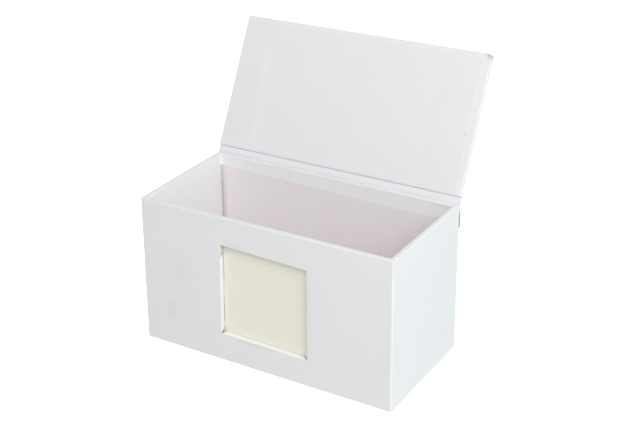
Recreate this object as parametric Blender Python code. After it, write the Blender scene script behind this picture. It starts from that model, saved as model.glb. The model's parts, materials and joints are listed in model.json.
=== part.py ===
"""Card box: a rigid greyboard box covered in paper, with a window in its front and a lid hinged on its own paper.

Metres, +Z up. The origin is the middle of the underside and the front faces -Y. The lid stands open.
Everything on the lid is modelled as it lies closed, measured from the hinge axis, and the axis is then turned.
"""

import math

import bmesh
import bpy

# The closed box, measured over its covering paper
LENGTH = 0.200
DEPTH = 0.100
HEIGHT = 0.112

# Sheet thicknesses, and the glue line that every glued pair keeps between them
BOARD = 0.00225
WRAP_PAPER = 0.0002
LINING_PAPER = 0.00015
STAY_TAPE = 0.0001
CARD = 0.0005
GLUE_GAP = 0.0003

# Covering paper: how far its edges are turned in over the rim, under the base and round the back corners
RIM_TURN_IN = 0.011
BASE_TURN_UNDER = 0.015
BACK_FLAP = 0.025
BASE_SHEET_INSET = 0.002

# Window in the front wall, placed from the middle of the wall, and the card behind it
WINDOW_WIDTH = 0.069
WINDOW_HEIGHT = 0.069
WINDOW_SHIFT = 0.0008
WINDOW_RISE = -0.0004
CARD_MARGIN = 0.007

# Width of the flaps turned through the window, as a share of the height between the window and the turned-in rim
WINDOW_FLAP_SHARE = 0.55

# Gummed tape round each corner of the boards: its reach along each wall
STAY_REACH = 0.020

# Lid and its paper hinge. The axis lies behind the back wall, level with the middle of the closed lid
LID_LIP = 0.002
LID_CLEARANCE = 0.0003
LID_TURN_IN = 0.024
LINER_INSET = 0.0035
HINGE_OUT = 0.00235
HINGE_SLACK = 0.0009
HINGE_FLAP = 0.018
OPEN_ANGLE = math.radians(117.2)

# Layers of a wall, measured inwards from the outside of its paper
BOARD_OUTSIDE = WRAP_PAPER + GLUE_GAP
BOARD_INSIDE = BOARD_OUTSIDE + BOARD
LINING_OUTSIDE = BOARD_INSIDE + GLUE_GAP
LINING_INSIDE = LINING_OUTSIDE + LINING_PAPER
TURN_IN_INSIDE = LINING_INSIDE + GLUE_GAP + WRAP_PAPER

# Layers of the base, and the bottom and top of the wall boards, measured up from the underside
WRAP_BOTTOM = WRAP_PAPER + GLUE_GAP
BASE_BOTTOM = WRAP_BOTTOM + WRAP_PAPER + GLUE_GAP
BASE_TOP = BASE_BOTTOM + BOARD
WALL_BOTTOM = BASE_TOP + GLUE_GAP
WALL_TOP = HEIGHT - BOARD_OUTSIDE

# Layers of the closed lid, measured up from its inside face
LID_TURN_IN_BOTTOM = LINING_PAPER + GLUE_GAP
LID_BOARD_BOTTOM = LID_TURN_IN_BOTTOM + WRAP_PAPER + GLUE_GAP
LID_BOARD_TOP = LID_BOARD_BOTTOM + BOARD
LID_THICKNESS = LID_BOARD_TOP + GLUE_GAP + WRAP_PAPER

HINGE_UP = LID_CLEARANCE + LID_THICKNESS / 2
WINDOW_LEFT = WINDOW_SHIFT - WINDOW_WIDTH / 2
WINDOW_RIGHT = WINDOW_SHIFT + WINDOW_WIDTH / 2
WINDOW_BOTTOM = HEIGHT / 2 + WINDOW_RISE - WINDOW_HEIGHT / 2
WINDOW_TOP = HEIGHT / 2 + WINDOW_RISE + WINDOW_HEIGHT / 2


def finish(name, color, roughness):
    """One paper or board finish."""
    material = bpy.data.materials.new(name)
    material.use_nodes = True
    shader = material.node_tree.nodes["Principled BSDF"]
    shader.inputs["Base Color"].default_value = (*color, 1.0)
    shader.inputs["Roughness"].default_value = roughness
    shader.inputs["Metallic"].default_value = 0.0
    return material


def place(name, mesh, material, location=(0, 0, 0), parent=None):
    """Puts a mesh in the scene as a named piece."""
    mesh.materials.append(material)
    piece = bpy.data.objects.new(name, mesh)
    piece.location = location
    piece.parent = parent
    bpy.context.collection.objects.link(piece)
    return piece


def flat_sheet(name, low, high, material, parent=None):
    """A flat board or sheet between two corners, with its origin at its middle."""
    size = [top - bottom for bottom, top in zip(low, high)]
    middle = [(top + bottom) / 2 for bottom, top in zip(low, high)]
    bm = bmesh.new()
    bmesh.ops.create_cube(bm, size=1)
    bmesh.ops.scale(bm, vec=size, verts=bm.verts)
    mesh = bpy.data.meshes.new(name)
    bm.to_mesh(mesh)
    bm.free()
    return place(name, mesh, material, middle, parent)


def folded_sheet(name, bm, thickness, material, parent=None):
    """A folded sheet: bm is its seen side, and its thickness goes behind that."""
    mesh = bpy.data.meshes.new(name)
    bm.to_mesh(mesh)
    bm.free()
    piece = place(name, mesh, material, parent=parent)
    solid = piece.modifiers.new("thickness", "SOLIDIFY")
    solid.solidify_mode = "NON_MANIFOLD"
    solid.nonmanifold_thickness_mode = "CONSTRAINTS"
    solid.nonmanifold_merge_threshold = 0.00001
    solid.thickness = thickness
    solid.offset = -1
    return piece


def fold_grid(corners, folds):
    """The seen side of a sheet that runs round the corners and is folded at each level.

    A corner is (x, y, inward x, inward y) and a fold is (distance inwards, height).
    """
    bm = bmesh.new()
    grid = [
        [bm.verts.new((x + inward_x * depth, y + inward_y * depth, height)) for depth, height in folds]
        for x, y, inward_x, inward_y in corners
    ]
    for near, far in zip(grid, grid[1:]):
        for level in range(len(folds) - 1):
            bm.faces.new((near[level], far[level], far[level + 1], near[level + 1]))
    return bm


def cut_window(piece):
    """Cuts the window through a sheet of the front wall, larger by the paper that lines the opening."""
    cutter = flat_sheet(
        piece.name + "_cutter",
        (WINDOW_LEFT - BOARD_OUTSIDE, -DEPTH / 2 - BOARD, WINDOW_BOTTOM - BOARD_OUTSIDE),
        (WINDOW_RIGHT + BOARD_OUTSIDE, -DEPTH / 2 + 2 * TURN_IN_INSIDE, WINDOW_TOP + BOARD_OUTSIDE),
        greyboard,
    )
    cutter.hide_render = True
    cutter.display_type = "WIRE"
    cut = piece.modifiers.new("window", "BOOLEAN")
    cut.object = cutter


for old in list(bpy.data.objects):
    bpy.data.objects.remove(old)

greyboard = finish("greyboard", (0.36, 0.31, 0.25), 0.9)
white_paper = finish("white_paper", (0.82, 0.82, 0.84), 0.55)
lining_paper = finish("lining_paper", (0.74, 0.68, 0.70), 0.7)
cream_card = finish("cream_card", (0.80, 0.77, 0.62), 0.65)
gummed_tape = finish("gummed_tape", (0.55, 0.38, 0.22), 0.75)

# Greyboard carcass: the long walls run the full length, the end walls stand between them, all on the base
board_x = LENGTH / 2 - BOARD_OUTSIDE
board_y = DEPTH / 2 - BOARD_OUTSIDE
inner_x = LENGTH / 2 - BOARD_INSIDE
inner_y = DEPTH / 2 - BOARD_INSIDE
end_y = inner_y - GLUE_GAP
flat_sheet("base_board", (-board_x, -board_y, BASE_BOTTOM), (board_x, board_y, BASE_TOP), greyboard)
front_board = flat_sheet(
    "front_board", (-board_x, -board_y, WALL_BOTTOM), (board_x, -inner_y, WALL_TOP), greyboard
)
cut_window(front_board)
flat_sheet("back_board", (-board_x, inner_y, WALL_BOTTOM), (board_x, board_y, WALL_TOP), greyboard)
flat_sheet("left_board", (-board_x, -end_y, WALL_BOTTOM), (-inner_x, end_y, WALL_TOP), greyboard)
flat_sheet("right_board", (inner_x, -end_y, WALL_BOTTOM), (board_x, end_y, WALL_TOP), greyboard)

# Gummed tape in the glue line round each upright corner, from under the base board to the top of the walls
stay_depth = (GLUE_GAP - STAY_TAPE) / 2 + WRAP_PAPER
stay_x = LENGTH / 2 - stay_depth
stay_y = DEPTH / 2 - stay_depth
stay_levels = ((0, BASE_BOTTOM), (0, WALL_TOP))
for end_name, side_x in (("left", -1), ("right", 1)):
    for face_name, side_y in (("front", -1), ("back", 1)):
        along_wall = (side_x * (stay_x - STAY_REACH), side_y * stay_y, 0, -side_y)
        at_corner = (side_x * stay_x, side_y * stay_y, -side_x, -side_y)
        along_end = (side_x * stay_x, side_y * (stay_y - STAY_REACH), -side_x, 0)
        corners = [along_wall, at_corner, along_end]
        # The corners run anticlockwise seen from above, so that the seen side faces out
        if side_x * side_y > 0:
            corners.reverse()
        folded_sheet(
            f"corner_stay_{face_name}_{end_name}", fold_grid(corners, stay_levels), STAY_TAPE, gummed_tape
        )

# Lining paper: the long walls' sheets run the full length inside, the end walls' stand between them
lining_x = LENGTH / 2 - LINING_OUTSIDE
lining_y = DEPTH / 2 - LINING_OUTSIDE
clear_x = LENGTH / 2 - LINING_INSIDE
clear_y = DEPTH / 2 - LINING_INSIDE
between_y = clear_y - GLUE_GAP
between_x = clear_x - GLUE_GAP
floor_bottom = BASE_TOP + GLUE_GAP
flat_sheet(
    "floor_lining",
    (-between_x, -between_y, floor_bottom),
    (between_x, between_y, floor_bottom + LINING_PAPER),
    lining_paper,
)
front_lining = flat_sheet(
    "front_lining", (-lining_x, -lining_y, WALL_BOTTOM), (lining_x, -clear_y, WALL_TOP), lining_paper
)
cut_window(front_lining)
flat_sheet("back_lining", (-lining_x, clear_y, WALL_BOTTOM), (lining_x, lining_y, WALL_TOP), lining_paper)
flat_sheet(
    "left_lining", (-lining_x, -between_y, WALL_BOTTOM), (-clear_x, between_y, WALL_TOP), lining_paper
)
flat_sheet(
    "right_lining", (clear_x, -between_y, WALL_BOTTOM), (lining_x, between_y, WALL_TOP), lining_paper
)

# Covering paper of the front and both ends, with a flap round each back corner. It turns in over the rim
# and under the base, and through the window on to the inside of the front wall
half_x = LENGTH / 2
half_y = DEPTH / 2
wrap_corners = (
    (-half_x + BACK_FLAP, half_y, 0, -1),
    (-half_x, half_y, 1, -1),
    (-half_x, -half_y, 1, 1),
    (WINDOW_LEFT, -half_y, 0, 1),
    (WINDOW_RIGHT, -half_y, 0, 1),
    (half_x, -half_y, -1, 1),
    (half_x, half_y, -1, -1),
    (half_x - BACK_FLAP, half_y, 0, -1),
)
rim_fold_end = HEIGHT - RIM_TURN_IN
under_folds = ((BASE_TURN_UNDER, WRAP_BOTTOM), (0, WRAP_BOTTOM))
window_folds = ((0, WINDOW_BOTTOM), (0, WINDOW_TOP))
rim_folds = ((0, HEIGHT), (TURN_IN_INSIDE, HEIGHT), (TURN_IN_INSIDE, rim_fold_end))
wrap_folds = (*under_folds, *window_folds, *rim_folds)
bm = fold_grid(wrap_corners, wrap_folds)
bm.verts.ensure_lookup_table()
# The grid's cell over the window is opened, and the paper of its four edges goes through the wall
low_left = wrap_corners.index((WINDOW_LEFT, -half_y, 0, 1)) * len(wrap_folds) + len(under_folds)
low_right = low_left + len(wrap_folds)
edge = [bm.verts[i] for i in (low_left, low_right, low_right + 1, low_left + 1)]
bm.faces.remove(bm.faces.get(edge))
flap_width = WINDOW_FLAP_SHARE * (rim_fold_end - WINDOW_TOP)
for reach in (0, flap_width):
    left, right = WINDOW_LEFT - reach, WINDOW_RIGHT + reach
    bottom, top = WINDOW_BOTTOM - reach, WINDOW_TOP + reach
    outline = ((left, bottom), (right, bottom), (right, top), (left, top))
    inner_edge = [bm.verts.new((x, TURN_IN_INSIDE - half_y, z)) for x, z in outline]
    for i in range(len(outline)):
        bm.faces.new((edge[i - 1], edge[i], inner_edge[i], inner_edge[i - 1]))
    edge = inner_edge
folded_sheet("wrap_front_and_sides", bm, WRAP_PAPER, white_paper)

# Covering paper of the back wall, between the flaps, turned in at the rim and under the base
back_reach = half_x - BACK_FLAP - GLUE_GAP
back_corners = ((back_reach, half_y, 0, -1), (-back_reach, half_y, 0, -1))
folded_sheet("wrap_back", fold_grid(back_corners, (*under_folds, *rim_folds)), WRAP_PAPER, white_paper)

# Sheet on the underside, over the turned-under edges
sheet_x = half_x - BASE_SHEET_INSET
sheet_y = half_y - BASE_SHEET_INSET
flat_sheet("base_sheet", (-sheet_x, -sheet_y, 0), (sheet_x, sheet_y, WRAP_PAPER), white_paper)

# Cream card on the inside of the front wall, over the window's turned-through flaps
card_front = -half_y + TURN_IN_INSIDE + GLUE_GAP
flat_sheet(
    "window_card",
    (WINDOW_LEFT - CARD_MARGIN, card_front, WINDOW_BOTTOM - CARD_MARGIN),
    (WINDOW_RIGHT + CARD_MARGIN, card_front + CARD, WINDOW_TOP + CARD_MARGIN),
    cream_card,
)

# Hinge: the end of the lid's covering paper, glued to the outside of the back wall and bent out to the axis.
# It stops short of the axis by the slack, as the lid's half of the same paper does
axis_y = half_y + HINGE_OUT
axis_z = HEIGHT + HINGE_UP
flap_face = half_y + GLUE_GAP + WRAP_PAPER
flap_run = math.hypot(axis_y - flap_face, HINGE_UP)
flap_stop = 1 - HINGE_SLACK / flap_run
hinge_corners = ((half_x, 0, 0, 1), (-half_x, 0, 0, 1))
hinge_folds = (
    (flap_face, HEIGHT - HINGE_FLAP),
    (flap_face, HEIGHT),
    (flap_face + (axis_y - flap_face) * flap_stop, HEIGHT + HINGE_UP * flap_stop),
)
folded_sheet("hinge_flap", fold_grid(hinge_corners, hinge_folds), WRAP_PAPER, white_paper)

# Lid, measured from the hinge axis as it lies closed on the rim
lid_hinge = bpy.data.objects.new("lid_hinge", None)
lid_hinge.location = (0, axis_y, axis_z)
lid_hinge.rotation_euler = (-OPEN_ANGLE, 0, 0)
bpy.context.collection.objects.link(lid_hinge)

lid_inside = LID_CLEARANCE - HINGE_UP
lid_back = -HINGE_OUT
lid_front = lid_back - DEPTH - LID_LIP
flat_sheet(
    "lid_board",
    (-board_x, lid_front + BOARD_OUTSIDE, lid_inside + LID_BOARD_BOTTOM),
    (board_x, lid_back - GLUE_GAP, lid_inside + LID_BOARD_TOP),
    greyboard,
    lid_hinge,
)
flat_sheet(
    "lid_liner",
    (-half_x + LINER_INSET, lid_front + LINER_INSET, lid_inside),
    (half_x - LINER_INSET, lid_back - GLUE_GAP, lid_inside + LINING_PAPER),
    white_paper,
    lid_hinge,
)

# Lid's covering paper: the turned-in edges, the edges and the outside, then the tail bent down to the axis
lid_top = lid_inside + LID_THICKNESS
lid_corners = (
    (-half_x, lid_back, 1, 0),
    (-half_x, lid_front, 1, 1),
    (half_x, lid_front, -1, 1),
    (half_x, lid_back, -1, 0),
)
lid_folds = ((LID_TURN_IN, lid_inside + LID_TURN_IN_BOTTOM), (0, lid_inside + LID_TURN_IN_BOTTOM), (0, lid_top))
bm = fold_grid(lid_corners, lid_folds)
bm.verts.ensure_lookup_table()
top_corners = [bm.verts[len(lid_folds) * (corner + 1) - 1] for corner in range(len(lid_corners))]
bm.faces.new(top_corners)
tail_stop = HINGE_SLACK / math.hypot(HINGE_OUT, lid_top)
tail = [bm.verts.new((side, lid_back * tail_stop, lid_top * tail_stop)) for side in (-half_x, half_x)]
bm.faces.new((top_corners[0], top_corners[3], tail[1], tail[0]))
folded_sheet("lid_cover", bm, WRAP_PAPER, white_paper, lid_hinge)
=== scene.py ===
import json
import math

import bmesh
import bpy
from mathutils import Matrix, Vector, noise


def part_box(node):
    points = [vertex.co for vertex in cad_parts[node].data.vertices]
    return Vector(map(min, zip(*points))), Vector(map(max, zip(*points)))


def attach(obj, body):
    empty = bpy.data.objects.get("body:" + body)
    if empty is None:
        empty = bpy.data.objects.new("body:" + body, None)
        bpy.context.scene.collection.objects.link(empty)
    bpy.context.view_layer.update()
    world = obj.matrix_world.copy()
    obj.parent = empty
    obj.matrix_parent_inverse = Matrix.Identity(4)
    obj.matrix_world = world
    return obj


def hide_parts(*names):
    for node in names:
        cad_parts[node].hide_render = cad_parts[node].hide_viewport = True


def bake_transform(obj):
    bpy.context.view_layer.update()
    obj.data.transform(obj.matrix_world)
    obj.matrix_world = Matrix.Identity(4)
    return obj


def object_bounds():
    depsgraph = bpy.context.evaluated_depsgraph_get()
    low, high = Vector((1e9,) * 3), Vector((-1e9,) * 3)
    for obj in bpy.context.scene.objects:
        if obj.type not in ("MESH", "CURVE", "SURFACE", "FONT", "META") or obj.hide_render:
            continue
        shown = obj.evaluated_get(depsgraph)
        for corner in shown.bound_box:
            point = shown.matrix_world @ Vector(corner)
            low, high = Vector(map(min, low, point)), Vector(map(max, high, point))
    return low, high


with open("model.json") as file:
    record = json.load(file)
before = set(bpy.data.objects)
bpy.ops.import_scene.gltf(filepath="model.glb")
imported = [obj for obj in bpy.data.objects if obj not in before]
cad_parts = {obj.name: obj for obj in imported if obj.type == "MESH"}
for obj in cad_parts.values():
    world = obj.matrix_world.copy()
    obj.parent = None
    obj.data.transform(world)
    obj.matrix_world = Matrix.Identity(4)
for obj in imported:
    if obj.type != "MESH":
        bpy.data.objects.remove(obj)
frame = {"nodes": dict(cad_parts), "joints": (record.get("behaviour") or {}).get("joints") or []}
cad_low, cad_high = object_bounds()

# GREYBOARD CARCASS
# Panels of grey-brown millboard, cut on a guillotine and glued edge to edge. The paper hides them, except in the
# tears of the window and at one worn corner of the lid. The front panel's window was cut by hand, a little askew.

BOARD_COLOUR = (0.36, 0.33, 0.25)
BOARD_DARK = (0.27, 0.24, 0.18)
# The window's corners, from the middle of the front and up from the underside: where the folded paper's edge lies
WINDOW_TOP_LEFT = Vector((-0.0332, 0, 0.0911))
WINDOW_TOP_RIGHT = Vector((0.0355, 0, 0.0890))
WINDOW_BOTTOM_RIGHT = Vector((0.0353, 0, 0.0204))
WINDOW_BOTTOM_LEFT = Vector((-0.0343, 0, 0.0217))
WINDOW_OUTLINE = (WINDOW_TOP_LEFT, WINDOW_TOP_RIGHT, WINDOW_BOTTOM_RIGHT, WINDOW_BOTTOM_LEFT)
BOARD_CLEAR_OF_PAPER = 0.0005
# Angle in degrees from which a bend in any piece is drawn as an edge
SHARP_FOLD = 32


def feed(tree, socket, source):
    """Links a socket to another, or sets it to a plain value."""
    if isinstance(source, bpy.types.NodeSocket):
        tree.links.new(source, socket)
    else:
        socket.default_value = source


def add_node(tree, kind, inputs, **options):
    """A shader node with its options set and its inputs fed by name or number."""
    node = tree.nodes.new("ShaderNode" + kind)
    for option, value in options.items():
        setattr(node, option, value)
    for name, source in inputs.items():
        feed(tree, node.inputs[name], source)
    return node


def sum_of(tree, operation, *values):
    return add_node(tree, "Math", dict(enumerate(values)), operation=operation).outputs[0]


def ease(tree, value, low, high, to_low=0.0, to_high=1.0):
    """A value taken smoothly from one range to another."""
    numbers = {"Value": value, 1: low, 2: high, 3: to_low, 4: to_high}
    return add_node(tree, "MapRange", numbers, interpolation_type="SMOOTHSTEP").outputs[0]


def mix_colours(tree, share, first, second, blend_type="MIX"):
    made = add_node(tree, "Mix", {0: share}, data_type="RGBA", blend_type=blend_type)
    for socket, source in ((made.inputs[6], first), (made.inputs[7], second)):
        feed(tree, socket, (*source, 1.0) if isinstance(source, tuple) else source)
    return made.outputs[2]


def new_effect(name, inputs, outputs):
    """An empty node group with named sockets: its tree, what comes in and what goes out."""
    tree = bpy.data.node_groups.new(name, "ShaderNodeTree")
    for label, kind in inputs.items():
        tree.interface.new_socket(label, in_out="INPUT", socket_type="NodeSocket" + kind)
    for label, kind in outputs.items():
        tree.interface.new_socket(label, in_out="OUTPUT", socket_type="NodeSocket" + kind)
    return tree, tree.nodes.new("NodeGroupInput").outputs, tree.nodes.new("NodeGroupOutput").inputs


# Tooth: the fine felted surface of paper and board, with fibres that run along it
tooth, given, result = new_effect(
    "tooth", {"Vector": "Vector", "Size": "Float"}, {"Height": "Float", "Shade": "Float"}
)
tooth_scale = sum_of(tooth, "DIVIDE", 1.0, given["Size"])
felt = add_node(tooth, "TexNoise", {"Vector": given["Vector"], "Scale": tooth_scale, "Detail": 4.0, "Roughness": 0.6})
along = add_node(tooth, "Mapping", {"Vector": given["Vector"], "Scale": (0.3, 1.0, 1.0), "Rotation": (0, 0, 0.2)})
fibre_scale = sum_of(tooth, "MULTIPLY", tooth_scale, 0.7)
fibres = add_node(
    tooth, "TexNoise", {"Vector": along.outputs[0], "Scale": fibre_scale, "Detail": 2.0, "Distortion": 0.8}
)
rough_height = sum_of(tooth, "MULTIPLY", felt.outputs[0], 0.65)
feed(tooth, result["Height"], sum_of(tooth, "MULTIPLY_ADD", fibres.outputs[0], 0.35, rough_height))
feed(tooth, result["Shade"], ease(tooth, felt.outputs[0], 0.32, 0.68))

# Clouding: soft patches where the paste and the board show through
clouding, given, result = new_effect("clouding", {"Vector": "Vector", "Size": "Float"}, {"Shade": "Float"})
cloud_scale = sum_of(clouding, "DIVIDE", 1.0, given["Size"])
clouds = add_node(
    clouding, "TexNoise", {"Vector": given["Vector"], "Scale": cloud_scale, "Detail": 3.0, "Distortion": 0.5}
)
feed(clouding, result["Shade"], ease(clouding, clouds.outputs[0], 0.33, 0.67))

# Flecks: scattered dark specks, of which only a share are kept
flecks, given, result = new_effect(
    "flecks", {"Vector": "Vector", "Spacing": "Float", "Size": "Float", "Share": "Float"}, {"Mask": "Float"}
)
fleck_scale = sum_of(flecks, "DIVIDE", 1.0, given["Spacing"])
cells = add_node(flecks, "TexVoronoi", {"Vector": given["Vector"], "Scale": fleck_scale})
fleck_edge = sum_of(flecks, "DIVIDE", given["Size"], given["Spacing"])
fleck_middle = sum_of(flecks, "MULTIPLY", fleck_edge, 0.4)
inside = ease(flecks, cells.outputs["Distance"], fleck_middle, fleck_edge, 1.0, 0.0)
lottery = add_node(flecks, "SeparateColor", {0: cells.outputs["Color"]})
kept = sum_of(flecks, "LESS_THAN", lottery.outputs[0], given["Share"])
feed(flecks, result["Mask"], sum_of(flecks, "MULTIPLY", inside, kept))

# Spot: one ragged mark at a place on the object, with its own reach each way
spot, given, result = new_effect(
    "spot", {"Vector": "Vector", "Centre": "Vector", "Reach": "Vector", "Ragged": "Float"}, {"Mask": "Float"}
)
offset = add_node(spot, "VectorMath", {0: given["Vector"], 1: given["Centre"]}, operation="SUBTRACT")
shares = add_node(spot, "VectorMath", {0: offset.outputs[0], 1: given["Reach"]}, operation="DIVIDE")
away = add_node(spot, "VectorMath", {0: shares.outputs[0]}, operation="LENGTH")
torn = add_node(spot, "TexNoise", {"Vector": shares.outputs[0], "Scale": 1.7, "Detail": 4.0, "Roughness": 0.7})
uneven = sum_of(spot, "SUBTRACT", torn.outputs[0], 0.5)
reach_there = sum_of(spot, "MULTIPLY_ADD", uneven, given["Ragged"], away.outputs["Value"])
feed(spot, result["Mask"], ease(spot, reach_there, 0.35, 1.0, 1.0, 0.0))


def add_effect(tree, name, inputs):
    placed = add_node(tree, "Group", {}, node_tree=bpy.data.node_groups[name])
    for label, source in inputs.items():
        feed(tree, placed.inputs[label], source)
    return placed.outputs


def new_finish(name, colour, dark, cloud_size, tooth_size, relief, roughness):
    """A matt paper or board: a clouded colour with a fine tooth, in Object coordinates."""
    material = bpy.data.materials.new(name)
    material.use_nodes = True
    tree = material.node_tree
    shader = tree.nodes["Principled BSDF"]
    place = add_node(tree, "TexCoord", {}).outputs["Object"]
    surface = add_effect(tree, "tooth", {"Vector": place, "Size": tooth_size})
    patches = add_effect(tree, "clouding", {"Vector": place, "Size": cloud_size})
    wide_patches = add_effect(tree, "clouding", {"Vector": place, "Size": cloud_size * 3.7})
    patchy = sum_of(tree, "MULTIPLY_ADD", patches["Shade"], 0.35, sum_of(tree, "MULTIPLY", wide_patches["Shade"], 0.25))
    shade = sum_of(tree, "MULTIPLY_ADD", surface["Shade"], 0.4, patchy)
    feed(tree, shader.inputs["Base Color"], mix_colours(tree, shade, dark, colour))
    feed(tree, shader.inputs["Roughness"], ease(tree, patches["Shade"], 0.0, 1.0, roughness + 0.04, roughness - 0.04))
    bump = add_node(tree, "Bump", {"Strength": 1.0, "Distance": relief, "Height": surface["Height"]})
    feed(tree, shader.inputs["Normal"], bump.outputs[0])
    return material


def lay_over(material, effect, inputs, colour, strength):
    """Lays a colour over what the finish already is, where an effect's mask says."""
    tree = material.node_tree
    socket = tree.nodes["Principled BSDF"].inputs["Base Color"]
    place = next(node for node in tree.nodes if node.type == "TEX_COORD").outputs["Object"]
    mask = add_effect(tree, effect, {"Vector": place, **inputs})["Mask"]
    share = sum_of(tree, "MULTIPLY", mask, strength)
    feed(tree, socket, mix_colours(tree, share, socket.links[0].from_socket, colour))


def add_mark(material, centre, reach, colour, strength, ragged=0.5):
    """One stain, rub or shadowed crease."""
    lay_over(material, "spot", {"Centre": centre, "Reach": reach, "Ragged": ragged}, colour, strength)


def add_flecks(material, spacing, size, share, colour, strength):
    """Scattered specks."""
    lay_over(material, "flecks", {"Spacing": spacing, "Size": size, "Share": share}, colour, strength)


def new_block(low, high):
    """A plain block between two corners."""
    bm = bmesh.new()
    bmesh.ops.create_cube(bm, size=1)
    bmesh.ops.scale(bm, vec=high - low, verts=bm.verts)
    bmesh.ops.translate(bm, vec=(low + high) / 2, verts=bm.verts)
    return bm


def cut_across(bm, places, direction, geometry=None):
    """Cuts a mesh along planes square to a direction, at distances from the origin."""
    for place in places:
        whole = geometry() if geometry else [*bm.verts, *bm.edges, *bm.faces]
        bmesh.ops.bisect_plane(bm, geom=whole, dist=1e-6, plane_co=Vector(direction) * place, plane_no=direction)


def write_mesh(name, bm, material):
    """A finished piece with its place in its mesh, smooth except at folds and cut edges."""
    mesh = bpy.data.meshes.new(name)
    bm.edges.index_update()
    cut_edges = [edge.index for edge in bm.edges if edge.is_boundary]
    bm.to_mesh(mesh)
    bm.free()
    mesh.shade_smooth()
    mesh.set_sharp_from_angle(angle=math.radians(SHARP_FOLD))
    for index in cut_edges:
        mesh.edges[index].use_edge_sharp = True
    mesh.materials.append(material)
    piece = bpy.data.objects.new(name, mesh)
    bpy.context.scene.collection.objects.link(piece)
    return piece


def inward_of(start, end):
    """The direction square to a side of the window's outline, towards its middle."""
    run = (end - start).normalized()
    return Vector((run.z, 0, -run.x))


def outline_set_back(distance):
    """The window's outline, larger by a distance at every side."""
    corners = []
    for i, corner in enumerate(WINDOW_OUTLINE):
        side_before = inward_of(WINDOW_OUTLINE[i - 1], corner)
        side_after = inward_of(corner, WINDOW_OUTLINE[(i + 1) % len(WINDOW_OUTLINE)])
        corners.append(corner - (side_before + side_after) * distance)
    return corners


def cut_outline(bm, corners, geometry=None):
    """Cuts a mesh along every side of an outline."""
    for i, corner in enumerate(corners):
        whole = geometry() if geometry else [*bm.verts, *bm.edges, *bm.faces]
        square = inward_of(corners[i - 1], corner)
        bmesh.ops.bisect_plane(bm, geom=whole, dist=1e-6, plane_co=corner, plane_no=square)


def is_within(place, corners):
    return all((place - corner).dot(inward_of(corners[i - 1], corner)) > 0 for i, corner in enumerate(corners))


greyboard = new_finish("greyboard", BOARD_COLOUR, BOARD_DARK, 0.006, 0.0009, 0.00012, 0.85)
add_flecks(greyboard, 0.0022, 0.0005, 0.35, (0.10, 0.09, 0.08), 0.6)
# Painted light: beside the window, where the paper has torn off, the board is painted pale to lift the shade in the
# narrow slot there
add_mark(greyboard, (-0.0334, -0.0482, 0.0870), (0.0030, 0.0040, 0.0065), (0.86, 0.83, 0.70), 0.9, 0.4)
for name in ("base_board", "back_board", "left_board", "right_board"):
    frame["nodes"][name].data.materials[0] = greyboard

bm = new_block(*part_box("front_board"))
cut_corners = outline_set_back(BOARD_CLEAR_OF_PAPER)
cut_outline(bm, cut_corners)
blank = [face for face in bm.faces if abs(face.normal.y) > 0.5 and is_within(face.calc_center_median(), cut_corners)]
opening_edges = [edge for face in blank for edge in face.edges]
bmesh.ops.delete(bm, geom=blank, context="FACES_ONLY")
bmesh.ops.bridge_loops(bm, edges=opening_edges)
bmesh.ops.recalc_face_normals(bm, faces=bm.faces)
front_panel = write_mesh("front_panel", bm, greyboard)
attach(front_panel, "box")
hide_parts("front_board")

# GUMMED CORNER STAYS
# Brown gummed paper tape, wetted and pressed round each upright corner of the boards before they are covered.
# It is sealed under the covering paper.

gummed_tape = new_finish("gummed_tape", (0.34, 0.22, 0.12), (0.27, 0.17, 0.09), 0.008, 0.0006, 0.00004, 0.6)
for face_name in ("front", "back"):
    for end_name in ("left", "right"):
        frame["nodes"][f"corner_stay_{face_name}_{end_name}"].data.materials[0] = gummed_tape

# LININGS
# Sheets of thin pinkish paper on the floor, back and ends, pasted on the boards before the box was put together, so
# they bubble a little between the pasted strokes. The covering paper laps over their tops.

LINING_COLOUR = (0.892, 0.846, 0.857)
LINING_DARK = (0.870, 0.820, 0.832)
LINING_PAPER = 0.00015
LINING_CELL = 0.004
LINING_BUBBLE = 0.00007
BUBBLE_SIZE = 0.017
LINING_LIFT = 0.00020
LINING_REACH = 0.0006
# The turn that stands a flat sheet square to each axis
STAND = (Matrix(((0, 0, 1), (1, 0, 0), (0, 1, 0))), Matrix(((1, 0, 0), (0, 0, -1), (0, 1, 0))), Matrix.Identity(3))


def thicken(sheet, thickness):
    """Gives a flat sheet its paper's thickness, behind the side that is seen."""
    paper = sheet.modifiers.new("paper", "SOLIDIFY")
    paper.thickness = thickness
    paper.offset = -1
    return sheet


def ripple(point, size, depth, seed=0.0):
    """Gentle unevenness: a distance that varies over the surface."""
    return depth * noise.noise(Vector(point) / size + Vector((seed, seed * 0.7, -seed)))


def face_towards(bm, axis, facing):
    """Turns a sheet over if the side that is seen doesn't look that way along the axis."""
    bm.normal_update()
    if sum(face.normal[axis] for face in bm.faces) * facing < 0:
        bmesh.ops.reverse_faces(bm, faces=bm.faces)


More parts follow.
